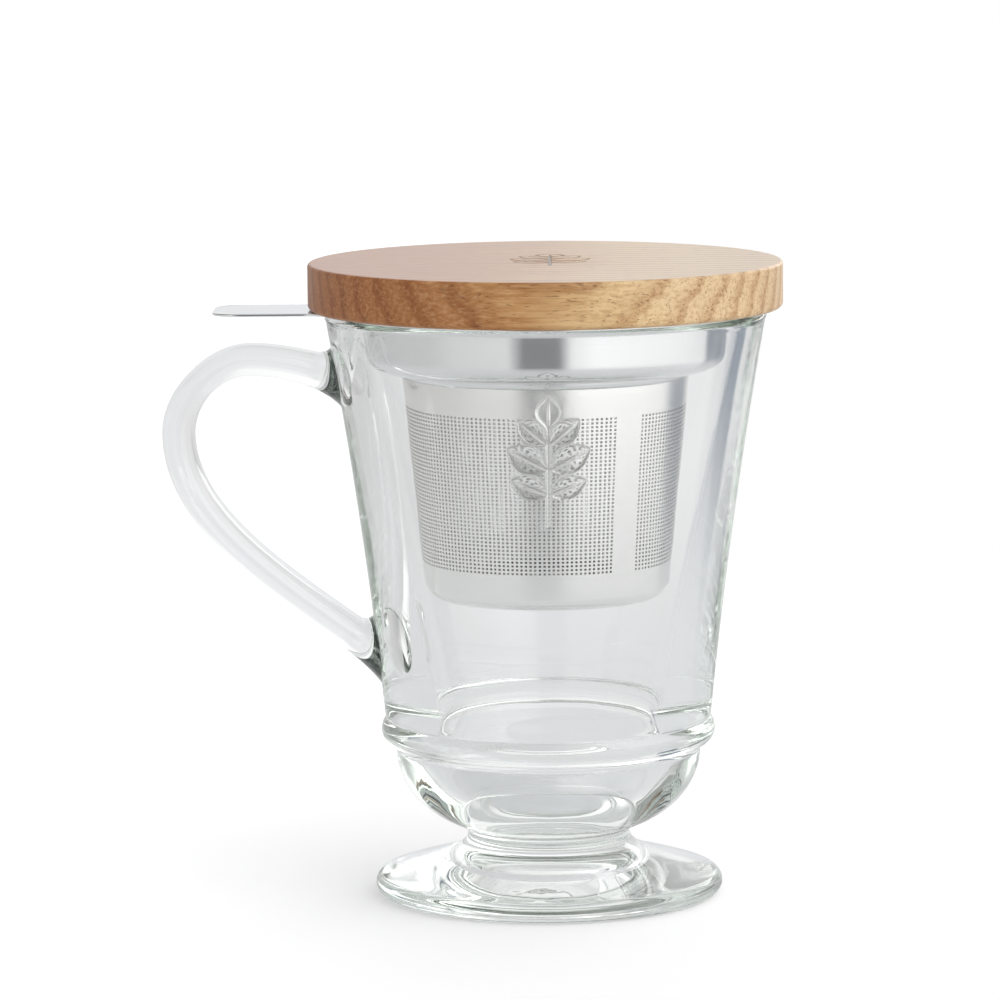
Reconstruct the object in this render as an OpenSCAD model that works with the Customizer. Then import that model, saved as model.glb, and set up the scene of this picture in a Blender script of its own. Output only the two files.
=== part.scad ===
// Footed glass tea mug with a lift-out steel infuser and a turned wooden lid.
// Origin: centre of the foot's contact ring. +Z is up. The handle and the infuser's tab point to -X.
// All sizes are in millimetres.

/* [Glass wall] */
// Height of the glass from the table to its rim
glass_h = 124.2; // [116:0.1:136]
// Outer diameter of the wall at the rim
rim_d = 93.2; // [90:0.1:102]
// Outer diameter of the wall where it leaves the bead
waist_d = 68.6; // [64:0.1:70]
// How far the wall's outline hangs inside a straight taper
wall_bow = 0.9; // [0:0.1:2]
// Thickness of the wall at the rim
rim_t = 4.9; // [4:0.1:6]
// Rounding of the fire-polished rim
rim_round = 1.7; // [0.8:0.1:1.9]

/* [Inside of the cup] */
// Inner diameter where the straight taper ends and the round bottom starts
cup_low_d = 47.7; // [46:0.1:50]
// Height where the round bottom starts
bottom_top_z = 38.2; // [36:0.1:44]
// Height of the cup's floor at its centre
floor_z = 22.6; // [21:0.1:28]
// How much lower the floor's centre is than its edge
floor_dish = 0.4; // [0:0.1:0.8]
// Diameter of the floor inside the round
floor_d = 20; // [8:0.5:30]

/* [Bead and bowl] */
// Outer diameter of the bead below the wall
bead_d = 70.8; // [69.5:0.1:74]
// Height of the bead's widest point
bead_z = 35.4; // [35:0.1:38]
// Half the height of the bead
bead_half_h = 3.2; // [2.4:0.1:3.8]
// How far the bead's section reaches in from its widest point
bead_half_w = 2.8; // [2:0.1:3.2]
// Outer diameter of the bowl
bowl_d = 64.6; // [60:0.1:66]
// Height of the bowl's widest point
bowl_z = 31; // [30:0.1:32.5]
// Depth of the bowl's round, from its widest point down to its lowest
bowl_depth = 17.7; // [16:0.1:18.5]
// Radius at which the bowl's round would be level
bowl_level_r = 10; // [6:0.1:12]

/* [Foot] */
// Diameter of the foot
foot_d = 73.8; // [68:0.1:80]
// Radius of the foot's round edge
foot_edge_r = 2.3; // [1.6:0.1:3]
// Diameter of the stem at its narrowest
neck_d = 34.3; // [30:0.1:38]
// Height at which the stem is narrowest
neck_z = 12.8; // [12:0.1:13.2]
// Width of the flat ring that the mug stands on
contact_w = 3.4; // [2.4:0.1:5]
// Diameter of the hollow in the underside
hollow_d = 38; // [30:0.1:44]
// Height of the hollow's top above the table
hollow_h = 3.8; // [2.5:0.1:4.5]

/* [Handle] */
// Thickness of the handle in its own plane
handle_t = 7; // [5.5:0.1:8.5]
// Width of the handle across that plane
handle_w = 12; // [9:0.1:15]
// How far the handle's centre line reaches out beyond the rim
handle_reach = 31; // [26:0.1:38]
// Distance from the rim down to the upper root's centre
handle_drop = 15; // [14:0.1:18]
// Rise of the shoulder above the upper root's centre
shoulder_rise = 5; // [3:0.1:7]
// How far the shoulder's top stands out beyond the rim
shoulder_out = 16; // [13:0.1:19]
// Distance from the shoulder's top down to the handle's outermost point
shoulder_drop = 15.5; // [13:0.1:18]
// Height of the lower root's centre
low_root_z = 52; // [51:0.1:56]
// Slope of the handle where it meets the wall low down, in degrees
low_slope = 37; // [30:1:44]
// Radius of the fillet round each root
root_fillet = 3; // [2:0.1:4]

/* [Infuser collar] */
// Thickness of the pressed sheet
sheet_t = 0.6; // [0.4:0.05:0.8]
// How far the flange stays inside the glass rim's outer edge
flange_inset = 0.4; // [0:0.1:1.2]
// Gap between the collar and the inside of the glass, at the rim
collar_gap = 2.6; // [2:0.1:4]
// Radius of the bend from flange to collar
flange_bend = 0.9; // [0.6:0.1:1.2]
// Depth of the collar from the flange to its shelf
collar_depth = 11.6; // [10:0.1:13]
// How much narrower the collar's radius is at the bottom of its wall
collar_draft = 0.7; // [0.3:0.1:1.2]
// Radius of the round between collar wall and shelf
collar_round = 4.3; // [3:0.1:5]
// Radius of the bend from shelf to neck
neck_bend = 0.3; // [0.2:0.05:0.4]
// Length of the neck that holds the basket
neck_len = 1.6; // [1.2:0.1:3]
// Reach of the tab beyond the flange
tab_len = 23.4; // [18:0.1:28]
// Width of the tab
tab_w = 20; // [16:0.1:24]
// Extra width of the tab where it leaves the flange
tab_flare = 3; // [0:0.1:5]
// Radius of the tab's outer corners
tab_corner = 5; // [3:0.1:7]

/* [Basket] */
// Thickness of the etched sheet
mesh_t = 0.4; // [0.3:0.05:0.5]
// Outer diameter of the basket at its top
basket_d = 60.8; // [56:0.1:62]
// Height of the basket below the shelf, down to its underside
basket_h = 48.4; // [44:0.1:50]
// How much narrower the basket's radius is at its foot
basket_draft = 4.4; // [3:0.1:5.5]
// Corner radius of the base pan
pan_corner = 3; // [2:0.1:4]
// Height of the pan's side that sits inside the wall
pan_lap = 3; // [2:0.1:4]

/* [Strainer holes] */
// Width of a square hole
hole_w = 1.7; // [1.2:0.1:2.2]
// Spacing of the holes, in rows and between rows
hole_pitch = 4; // [3.6:0.1:5]
// Number of etched panels round the wall
panels = 3; // [2:1:4]
// Width of the plain strip between two panels
strip_w = 5.4; // [4:0.1:9]
// Direction of the first plain strip, in degrees round from +X
strip_at = 184; // [170:1:200]
// Height of plain sheet above the holes, from the collar's shelf
plain_top = 7.6; // [4:0.1:12]
// Height of plain sheet below the holes, from the basket's underside
plain_bottom = 7.8; // [7:0.1:12]
// Width of plain sheet inside the pan's corner
pan_margin = 3; // [2:0.1:6]

/* [Lid] */
// How far the lid overhangs the glass rim
lid_overhang = 3.4; // [2:0.1:6]
// Thickness of the wooden disc
lid_t = 9.8; // [7:0.1:13]
// Rounding of the disc's upper edge
lid_top_round = 0.7; // [0.3:0.1:2]
// Rounding of the disc's lower edge
lid_low_round = 1.2; // [0.5:0.1:2]
// Depth of the turned plug below the disc
plug_h = 5; // [4:0.1:7]
// Gap between the plug and the inside of the collar
plug_gap = 1.4; // [1:0.1:2.2]
// Chamfer of the plug's lower edge
plug_chamfer = 0.8; // [0.4:0.1:1]
// Depth of the seal's groove in the plug
groove_depth = 1.6; // [1:0.1:2.5]
// Height of the seal ring
seal_h = 2; // [1.4:0.1:2.2]
// Gap between the seal ring's lips and the collar
seal_gap = 0.15; // [0.1:0.05:0.4]

/* [Hidden] */
$fn = 72;

// Straight steps in a round corner, and in a long curve
arc_steps = 8;
wall_steps = 14;

rim_r = rim_d / 2;
waist_r = waist_d / 2;
foot_r = foot_d / 2;
neck_r = neck_d / 2;
bowl_r = bowl_d / 2;
bead_r = bead_d / 2;
hollow_r = hollow_d / 2;

// ---- plane curves -------------------------------------------------------------------------

// Points of an elliptic arc, from angle a0 to a1 in degrees
function arc(c, rx, ry, a0, a1, steps = arc_steps) =
    [for (i = [0:steps]) let (a = a0 + (a1 - a0) * i / steps) c + [rx * cos(a), ry * sin(a)]];
// One point of a cubic curve with end points p0, p3 and handles p1, p2
function cubic(p0, p1, p2, p3, t) =
    pow(1 - t, 3) * p0 + 3 * pow(1 - t, 2) * t * p1 + 3 * (1 - t) * t * t * p2 + pow(t, 3) * p3;
function mix(a, b, t) = a + (b - a) * t;
function unit(v) = v / norm(v);

// ---- glass: outline of the wall, outside and inside ------------------------------------------

// Share of the way up the wall, 0 at the bead and 1 at the rim
function wall_share(z) = (z - bead_z) / (glass_h - bead_z);
function outer_r(z) =
    let (u = wall_share(z)) mix(waist_r, rim_r, u) - 4 * wall_bow * u * (1 - u);
// The inside is a straight cone from the round bottom up to the rim
function inner_r(z) =
    mix(cup_low_d / 2, rim_r - rim_t, (z - bottom_top_z) / (glass_h - bottom_top_z));

// The foot's round edge starts at the contact ring and ends on the sweep up to the stem
edge_end_a = 62;
contact_out_r = foot_r - foot_edge_r;
contact_in_r = contact_out_r - contact_w;
foot_edge = arc([contact_out_r, foot_edge_r], foot_edge_r, foot_edge_r, -90, edge_end_a);
// The sweep leaves the edge along a shallow slope and reaches the stem almost upright
slope_run = 9;
slope_rise = 3;
flare_run = 0.7;
flare_rise = 4.3;
sweep_start = foot_edge[len(foot_edge) - 1];
foot_top = [for (i = [1:wall_steps])
    cubic(sweep_start, sweep_start + [-slope_run, slope_rise], [neck_r + flare_run, neck_z - flare_rise],
        [neck_r, neck_z], i / wall_steps)];
// The bowl's quarter ellipse starts where it is as narrow as the stem
bowl_start_a = -acos((neck_r - bowl_level_r) / (bowl_r - bowl_level_r));
bowl_arc = arc([bowl_level_r, bowl_z], bowl_r - bowl_level_r, bowl_depth, bowl_start_a, 0, wall_steps);
// The bead's arc, from under the bead to the crease where the wall starts
bead_start_a = -80;
bead_end_a = 48;
crease_h = 0.6;
bead_arc = arc([bead_r - bead_half_w, bead_z], bead_half_w, bead_half_h, bead_start_a, bead_end_a);
wall_foot_z = bead_z + bead_half_h + crease_h;
lip_z = glass_h - rim_round;
wall_outside = [for (i = [0:wall_steps])
    let (z = mix(wall_foot_z, lip_z, i / wall_steps)) [outer_r(z), z]];
// The lip's rounding starts a little way round, because the wall leans out
lip_lean_a = 15;
lip_outside = arc([rim_r - rim_round, lip_z], rim_round, rim_round, lip_lean_a, 90);

glass_outline = concat([[0, 0]], foot_edge, foot_top, bowl_arc, bead_arc, wall_outside, lip_outside,
    [[0, glass_h]]);

// Hollow of the cup: dished floor, round bottom, cone and the lip's inner rounding, open at the top
floor_r = floor_d / 2;
cup_floor = [for (i = [0:arc_steps - 1])
    let (u = i / arc_steps) [floor_r * u, floor_z + floor_dish * u * u]];
round_bottom = arc([floor_r, bottom_top_z], cup_low_d / 2 - floor_r, bottom_top_z - floor_z - floor_dish,
    -90, 0, wall_steps);
cone_a = atan((inner_r(glass_h) - cup_low_d / 2) / (glass_h - bottom_top_z));
lip_in_r = inner_r(lip_z) + rim_round / cos(cone_a);
lip_inside = arc([lip_in_r, lip_z], rim_round, rim_round, 180 - cone_a, 90);
open_z = glass_h + rim_t;
cup_outline = concat(cup_floor, round_bottom, lip_inside, [[lip_in_r, open_z], [0, open_z]]);

// Hollow under the foot: a shallow cone inside the contact ring, and a dome over the middle
dome_foot_z = 1.2;
hollow_outline = concat([[0, -1], [contact_in_r, -1], [contact_in_r, 0]],
    arc([0, dome_foot_z], hollow_r, hollow_h - dome_foot_z, 0, 90));

// ---- glass: handle --------------------------------------------------------------------------

// Points round the section, and the power that makes it fuller than an ellipse
handle_sides = 20;
section_power = 2.5;
// How far each end of the path lies inside the wall's outside
root_depth = 3.4;
upper_lead_a = 20;
upper_root = [-(outer_r(glass_h - handle_drop) - root_depth), glass_h - handle_drop];
shoulder = [-(rim_r + shoulder_out), glass_h - handle_drop + shoulder_rise];
outermost = [-(rim_r + handle_reach), shoulder[1] - shoulder_drop];
lower_root = [-(outer_r(low_root_z) - root_depth), low_root_z - root_depth * tan(low_slope)];
// Handles of the three curves: their lengths set how full each bend is
upper_lead = 8;
shoulder_lead_in = 8;
shoulder_lead_out = 7;
drop_lead_in = 8;
drop_lead_out = 20;
low_lead = 25;

// Rings stand closer together near the roots, where the section changes
crowding = 1.7;
upper_rings = 15;
shoulder_rings = 12;
lower_rings = 26;
handle_path = concat(
    [for (i = [0:upper_rings])
        cubic(upper_root, upper_root + upper_lead * [-cos(upper_lead_a), sin(upper_lead_a)],
            shoulder + [shoulder_lead_in, 0], shoulder, pow(i / upper_rings, crowding))],
    [for (i = [1:shoulder_rings])
        cubic(shoulder, shoulder - [shoulder_lead_out, 0], outermost + [0, drop_lead_in], outermost,
            i / shoulder_rings)],
    [for (i = [1:lower_rings])
        cubic(outermost, outermost - [0, drop_lead_out],
            lower_root + low_lead * [-cos(low_slope), sin(low_slope)], lower_root,
            1 - pow(1 - i / lower_rings, crowding))]
);
rings = len(handle_path);

// Direction of the handle's path at its point i
function path_dir(i) = unit(handle_path[min(rings - 1, i + 1)] - handle_path[max(0, i - 1)]);
// What the root's fillet adds all round at a path point, by its distance from the wall
function fillet_add(p) =
    let (g = min(root_fillet, max(0, -p[0] - outer_r(p[1]))), d = root_fillet - g)
    root_fillet - sqrt(root_fillet * root_fillet - d * d);
function signed_pow(v, e) = sign(v) * pow(abs(v), e);
function handle_ring(i) =
    let (p = handle_path[i], d = path_dir(i), n = [-d[1], d[0]], f = fillet_add(p))
    [for (k = [0:handle_sides - 1])
        let (
            a = 360 * k / handle_sides,
            across = (handle_t / 2 + f) * signed_pow(cos(a), 2 / section_power),
            side = (handle_w / 2 + f) * signed_pow(sin(a), 2 / section_power)
        )
        [p[0] + n[0] * across, side, p[1] + n[1] * across]];

module handle_sweep() {
    points = [for (i = [0:rings - 1]) each handle_ring(i)];
    start_cap = [[for (k = [handle_sides - 1:-1:0]) k]];
    end_cap = [[for (k = [0:handle_sides - 1]) (rings - 1) * handle_sides + k]];
    sides = [for (i = [0:rings - 2], k = [0:handle_sides - 1])
        let (a = i * handle_sides + k, b = i * handle_sides + (k + 1) % handle_sides)
        each [[a, b, a + handle_sides], [b, b + handle_sides, a + handle_sides]]];
    polyhedron(points, concat(start_cap, sides, end_cap));
}

// ---- sheet metal ----------------------------------------------------------------------------

// Normal on the right-hand side of the way from point i to point i + 1
function right_of(p, i) = let (v = unit(p[i + 1] - p[i])) [v[1], -v[0]];
// Where point i goes when the line moves t to its right
function shifted(p, i, t) =
    let (
        a = right_of(p, max(0, i - 1)),
        b = right_of(p, min(len(p) - 2, i)),
        m = a + b
    )
    p[i] + m * t / (m * a);
// Section of a sheet of thickness t whose outside follows the line p
function sheet(p, t) = concat(p, [for (i = [len(p) - 1:-1:0]) shifted(p, i, t)]);

flange_r = rim_r - flange_inset;
flange_top_z = glass_h + sheet_t;
collar_r = inner_r(glass_h) - collar_gap;
collar_low_r = collar_r - collar_draft;
shelf_z = glass_h - collar_depth;
basket_r = basket_d / 2;
neck_out_r = basket_r + sheet_t;
neck_low_z = shelf_z - neck_len;

collar_line = concat(
    [[flange_r, glass_h]],
    arc([collar_r + flange_bend, glass_h - flange_bend], flange_bend, flange_bend, 90, 180, 4),
    arc([collar_low_r - collar_round, shelf_z + collar_round], collar_round, collar_round, 0, -90),
    arc([neck_out_r + neck_bend, shelf_z - neck_bend], neck_bend, neck_bend, 90, 180, 3),
    [[neck_out_r, neck_low_z]]
);

// The basket's wall: straight in the neck, then a steady taper
basket_top_z = shelf_z - neck_bend;
basket_low_z = shelf_z - basket_h;
straight_below_neck = 0.4;
taper_from_z = neck_low_z - straight_below_neck;
taper_a = atan(basket_draft / (taper_from_z - basket_low_z));
function basket_outer_r(z) = basket_r - (taper_from_z - z) * tan(taper_a);
pan_round_z = basket_low_z + pan_corner * (1 - sin(taper_a));
wall_low_z = pan_round_z;
wall_line = [[basket_r, basket_top_z], [basket_r, taper_from_z], [basket_outer_r(wall_low_z), wall_low_z]];

// The base pan's side lies against the wall's inside
function pan_outer_r(z) = basket_outer_r(z) - mesh_t / cos(taper_a);
pan_top_z = wall_low_z + pan_lap;
pan_arc_c = [pan_outer_r(pan_round_z) - pan_corner * cos(taper_a), basket_low_z + pan_corner];
pan_line = concat(
    [[pan_outer_r(pan_top_z), pan_top_z]],
    arc(pan_arc_c, pan_corner, pan_corner, -taper_a, -90),
    [[0, basket_low_z]]
);

// ---- strainer holes -------------------------------------------------------------------------

panel_a = 360 / panels;
holes_top_z = shelf_z - plain_top;
holes_low_z = basket_low_z + plain_bottom;
hole_rows = floor((holes_top_z - holes_low_z - hole_w) / hole_pitch) + 1;
row_gap = (holes_top_z - holes_low_z - hole_w) / (hole_rows - 1);
panel_mid_r = basket_outer_r((holes_top_z + holes_low_z) / 2);
strip_a = 2 * asin(strip_w / 2 / panel_mid_r);
hole_columns = floor((panel_a - strip_a) * PI / 180 * panel_mid_r / hole_pitch);
column_a = (panel_a - strip_a) / hole_columns;
hole_a = hole_w / panel_mid_r * 180 / PI;
// How far a hole's cutter reaches past the sheet
hole_reach = 3;

// A column of square holes at direction a: level planes cut them above and below,
// and planes through the axis cut them left and right
module hole_column(a) {
    for (row = [0:hole_rows - 1])
        rotate([0, 0, a - hole_a / 2])
            rotate_extrude(angle = hole_a)
            translate([basket_outer_r(holes_low_z) - hole_reach, holes_low_z + row * row_gap])
            square([2 * hole_reach + basket_draft, hole_w]);
}

module wall_holes() {
    for (panel = [0:panels - 1], column = [0:hole_columns - 1])
        hole_column(strip_at + panel * panel_a + strip_a / 2 + (column + 0.5) * column_a);
}

pan_holes_r = pan_arc_c[0] - pan_margin;
pan_hole_reach = floor(pan_holes_r / hole_pitch);

module pan_holes() {
    for (i = [-pan_hole_reach:pan_hole_reach], j = [-pan_hole_reach:pan_hole_reach])
        if (norm([i, j]) * hole_pitch < pan_holes_r)
            translate([i * hole_pitch, j * hole_pitch, basket_low_z])
            cube([hole_w, hole_w, 2 * hole_reach], center = true);
}

// ---- tab ------------------------------------------------------------------------------------

tab_end_x = -(flange_r + tab_len);
tab_root_x = -(flange_r - (rim_r - collar_r) / 3);
module tab_plate() {
    half = tab_w / 2;
    corner_x = tab_end_x + tab_corner;
    upper = arc([corner_x, half - tab_corner], tab_corner, tab_corner, 90, 180);
    lower = arc([corner_x, tab_corner - half], tab_corner, tab_corner, 180, 270);
    flare_x = -(flange_r + tab_flare);
    root = half + tab_flare;
    linear_extrude(sheet_t)
        polygon(concat([[tab_root_x, -root], [tab_root_x, root], [flare_x, half]], upper, lower,
            [[flare_x, -half]]));
}

// ---- lid ------------------------------------------------------------------------------------

lid_r = rim_r + lid_overhang;
lid_low_z = flange_top_z;
lid_top_z = lid_low_z + lid_t;
collar_in_r = collar_r - sheet_t;
plug_r = collar_in_r - plug_gap;
plug_low_z = lid_low_z - plug_h;
seal_mid_z = lid_low_z - plug_h / 2 - seal_h / 4;
seal_low_z = seal_mid_z - seal_h / 2;
groove_r = plug_r - groove_depth;
// The collar's wall leans in with depth, and the seal stays clear of it
lean_a = atan(collar_draft / (collar_depth - flange_bend - collar_round));
seal_r = collar_in_r - (glass_h - flange_bend - seal_low_z) * tan(lean_a) - seal_gap;

lid_outline = concat(
    [[0, plug_low_z], [plug_r - plug_chamfer, plug_low_z], [plug_r, plug_low_z + plug_chamfer], [plug_r, lid_low_z]],
    arc([lid_r - lid_low_round, lid_low_z + lid_low_round], lid_low_round, lid_low_round, -90, 0, 5),
    arc([lid_r - lid_top_round, lid_top_z - lid_top_round], lid_top_round, lid_top_round, 0, 90, 4),
    [[0, lid_top_z]]
);

// ---- pieces ---------------------------------------------------------------------------------

module glass_mug() {
    color([0.86, 0.92, 0.90, 0.45])
    difference() {
        union() {
            rotate_extrude() polygon(glass_outline);
            handle_sweep();
        }
        rotate_extrude() polygon(cup_outline);
        rotate_extrude() polygon(hollow_outline);
    }
}

module infuser_collar() {
    color([0.78, 0.79, 0.81]) {
        rotate_extrude() polygon(sheet(collar_line, sheet_t));
        translate([0, 0, glass_h]) tab_plate();
    }
}

module infuser_wall() {
    color([0.70, 0.70, 0.70])
    difference() {
        rotate_extrude() polygon(sheet(wall_line, mesh_t));
        wall_holes();
    }
}

module infuser_base() {
    color([0.66, 0.66, 0.67])
    difference() {
        rotate_extrude() polygon(sheet(pan_line, mesh_t));
        pan_holes();
    }
}

module lid_disc() {
    color([0.76, 0.56, 0.36])
    difference() {
        rotate_extrude() polygon(lid_outline);
        translate([0, 0, seal_low_z])
            difference() {
                cylinder(r = plug_r + 1, h = seal_h);
                translate([0, 0, -1]) cylinder(r = groove_r, h = seal_h + 2);
            }
    }
}

module lid_seal() {
    lip_r = seal_h / 5;
    color([0.93, 0.93, 0.91])
    rotate_extrude()
        translate([0, seal_low_z])
        union() {
            translate([groove_r, 0]) square([seal_r - lip_r - groove_r, seal_h]);
            for (z = [lip_r, seal_h - lip_r])
                translate([seal_r - lip_r, z]) circle(r = lip_r);
        }
}

glass_mug();
infuser_collar();
infuser_wall();
infuser_base();
lid_disc();
lid_seal();
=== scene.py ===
"""Footed glass tea mug with a steel infuser and a wooden lid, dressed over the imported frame."""
import math

import bmesh
import bpy
import numpy as np
from mathutils import Matrix, Vector

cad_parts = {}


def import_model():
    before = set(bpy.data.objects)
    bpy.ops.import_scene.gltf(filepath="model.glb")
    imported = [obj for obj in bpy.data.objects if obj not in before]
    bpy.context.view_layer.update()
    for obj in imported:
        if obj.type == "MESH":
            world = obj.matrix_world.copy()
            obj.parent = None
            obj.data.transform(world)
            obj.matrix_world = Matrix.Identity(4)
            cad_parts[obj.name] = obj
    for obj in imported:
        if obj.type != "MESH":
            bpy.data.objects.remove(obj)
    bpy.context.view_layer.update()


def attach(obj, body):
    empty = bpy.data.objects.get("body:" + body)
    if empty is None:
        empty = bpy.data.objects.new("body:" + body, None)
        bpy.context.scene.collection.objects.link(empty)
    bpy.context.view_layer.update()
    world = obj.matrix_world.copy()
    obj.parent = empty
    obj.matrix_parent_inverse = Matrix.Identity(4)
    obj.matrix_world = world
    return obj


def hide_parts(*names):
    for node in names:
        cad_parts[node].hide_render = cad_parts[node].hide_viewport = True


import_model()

SCENE = bpy.context.scene
MM = 0.001


# ---- mesh tools: points in millimetres, in the frame's own axes --------------------------------

def ease(t):
    t = np.clip(t, 0.0, 1.0)
    return t * t * (3.0 - 2.0 * t)


def arc(centre, rx, ry, a0, a1, steps):
    """Points on an ellipse's arc from a0 to a1 degrees."""
    a = np.radians(np.linspace(a0, a1, steps + 1))
    return [(centre[0] + rx * math.cos(t), centre[1] + ry * math.sin(t)) for t in a]


def cubic(p0, p1, p2, p3, steps, first=0):
    """Points of a Bezier curve cut into equal steps, from the point numbered first."""
    p0, p1, p2, p3 = (np.array(p, float) for p in (p0, p1, p2, p3))
    out = []
    for i in range(first, steps + 1):
        t = i / steps
        s = 1 - t
        out.append(tuple(s ** 3 * p0 + 3 * s ** 2 * t * p1 + 3 * s * t * t * p2 + t ** 3 * p3))
    return out


def rounded(points, radius, least_turn=14.0, steps=5):
    """The line with each corner sharper than least_turn degrees rounded off."""
    p = [np.array(q, float) for q in points]
    out = [p[0]]
    for i in range(1, len(p) - 1):
        a, b = p[i] - p[i - 1], p[i + 1] - p[i]
        la, lb = np.linalg.norm(a), np.linalg.norm(b)
        turn = math.degrees(math.acos(np.clip(np.dot(a, b) / (la * lb), -1, 1)))
        if turn < least_turn:
            out.append(p[i])
            continue
        cut = min(radius * math.tan(math.radians(turn) / 2), 0.45 * la, 0.45 * lb)
        start, end = p[i] - a / la * cut, p[i] + b / lb * cut
        for k in range(steps + 1):
            t = k / steps
            out.append((1 - t) ** 2 * start + 2 * (1 - t) * t * p[i] + t * t * end)
    out.append(p[-1])
    return [tuple(q) for q in out]


class Mesh:
    """Collects points and faces, then makes one Blender mesh of them."""

    def __init__(self):
        self.points, self.faces, self.count = [], [], 0

    def add(self, pts):
        """Adds points and returns their numbers."""
        pts = np.asarray(pts, float).reshape(-1, 3)
        self.points.append(pts)
        self.count += len(pts)
        return np.arange(self.count - len(pts), self.count)

    def strip(self, a, b):
        """Quads between two closed rows of point numbers."""
        n = len(a)
        for i in range(n):
            k = (i + 1) % n
            self.faces.append((a[i], a[k], b[k], b[i]))

    def fan(self, row, centre):
        for i in range(len(row)):
            self.faces.append((row[i], row[(i + 1) % len(row)], centre))

    def revolve(self, line, angles, shape=None, skip=None):
        """A closed surface of revolution. Returns its rows of point numbers.

        line is (radius, z), and a radius of 0 is a pole. shape moves a row's points.
        skip holds the cells that are left open."""
        rows = []
        cos, sin = np.cos(angles), np.sin(angles)
        for j, (r, z) in enumerate(line):
            if r < 1e-6:
                rows.append(self.add([(0, 0, z)]))
                continue
            pts = np.stack([r * cos, r * sin, np.full_like(cos, z)], 1)
            if shape is not None:
                pts = shape(j, pts)
            rows.append(self.add(pts))
        for j in range(len(rows) - 1):
            a, b = rows[j], rows[j + 1]
            if len(a) == 1:
                self.fan(b, a[0])
            elif len(b) == 1:
                self.fan(a, b[0])
            elif skip is None:
                self.strip(a, b)
            else:
                n = len(a)
                for i in range(n):
                    if (j, i) not in skip:
                        k = (i + 1) % n
                        self.faces.append((a[i], a[k], b[k], b[i]))
        return rows

    def build(self, name, material, body, node, values=None):
        """The piece in place of a CAD node. values are named numbers, one for each point."""
        mesh = bpy.data.meshes.new(name)
        pts = np.concatenate(self.points) * MM
        mesh.from_pydata(pts.tolist(), [], [tuple(int(i) for i in f) for f in self.faces])
        bm = bmesh.new()
        bm.from_mesh(mesh)
        bmesh.ops.recalc_face_normals(bm, faces=bm.faces)
        bm.to_mesh(mesh)
        bm.free()
        mesh.polygons.foreach_set("use_smooth", [True] * len(mesh.polygons))
        for key, data in (values or {}).items():
            layer = mesh.attributes.new(key, "FLOAT", "POINT")
            layer.data.foreach_set("value", np.asarray(data, np.float32))
        mesh.materials.append(material)
        mesh.update()
        piece = bpy.data.objects.new(name, mesh)
        SCENE.collection.objects.link(piece)
        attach(piece, body)
        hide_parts(node)
        return piece


def flat_edges(piece, angle=40.0):
    """Keeps sharp edges sharp while the sheet itself stays smooth."""
    mesh = piece.data
    bm = bmesh.new()
    bm.from_mesh(mesh)
    limit = math.radians(angle)
    for e in bm.edges:
        e.smooth = len(e.link_faces) == 2 and e.calc_face_angle(0.0) < limit
    bm.to_mesh(mesh)
    bm.free()


# ---- material tools ---------------------------------------------------------------------------

class Tree:
    """Short names for building a node tree."""

    def __init__(self, tree):
        self.tree = tree

    def node(self, kind, inputs=None, **settings):
        n = self.tree.nodes.new(kind)
        for k, v in settings.items():
            setattr(n, k, v)
        for k, v in (inputs or {}).items():
            if isinstance(v, bpy.types.NodeSocket):
                self.tree.links.new(v, n.inputs[k])
            else:
                n.inputs[k].default_value = v
        return n

    def math(self, op, a, b=0.0):
        return self.node("ShaderNodeMath", {0: a, 1: b}, operation=op).outputs[0]

    def ramp(self, value, stops):
        """A colour or a grey for each stop: (place, colour) or (place, level)."""
        n = self.node("ShaderNodeValToRGB", {"Fac": value})
        e = n.color_ramp.elements
        while len(e) > 1:
            e.remove(e[0])
        for i, (at, colour) in enumerate(stops):
            s = e[0] if i == 0 else e.new(at)
            s.position = at
            if not isinstance(colour, (tuple, list)):
                colour = (colour, colour, colour)
            s.color = (*colour, 1.0)
        return n.outputs["Color"]

    def mix(self, fac, a, b, blend="MIX"):
        n = self.node("ShaderNodeMix", data_type="RGBA", blend_type=blend)
        for key, v in ((0, fac), (6, a), (7, b)):
            if isinstance(v, bpy.types.NodeSocket):
                self.tree.links.new(v, n.inputs[key])
            elif key:
                n.inputs[key].default_value = (*v, 1.0)
            else:
                n.inputs[key].default_value = v
        return n.outputs[2]

    def noise(self, vector, scale, detail, rough):
        n = self.node("ShaderNodeTexNoise", {"Vector": vector, "Scale": scale, "Detail": detail,
                                             "Roughness": rough})
        return n.outputs["Fac"]

    def stretched(self, x, y, z, offset=(0, 0, 0)):
        """The object's own coordinates, scaled by axis."""
        co = self.node("ShaderNodeTexCoord").outputs["Object"]
        n = self.node("ShaderNodeMapping", {"Vector": co, "Scale": (x, y, z), "Location": offset})
        return n.outputs[0]

    def bump(self, height, strength, distance, normal=None):
        inputs = {"Height": height, "Strength": strength, "Distance": distance}
        if normal is not None:
            inputs["Normal"] = normal
        return self.node("ShaderNodeBump", inputs).outputs[0]


def material(name):
    m = bpy.data.materials.new(name)
    m.use_nodes = True
    m.node_tree.nodes.clear()
    return m, Tree(m.node_tree)


# ---- materials --------------------------------------------------------------------------------

# the glass absorbs, in a metre, GLASS_DEPTH times what this colour lacks of white
GLASS_TINT, GLASS_DEPTH, GLASS_IOR = (0.845, 0.885, 0.85, 1.0), 12.0, 1.52
# the board's rings: how many in a metre, where they start, and how far they lean along X and Z
RINGS_PER_M, RING_START, RING_SKEW, RING_LEAN = 200.0, 0.17, 0.03, 0.31
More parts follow.
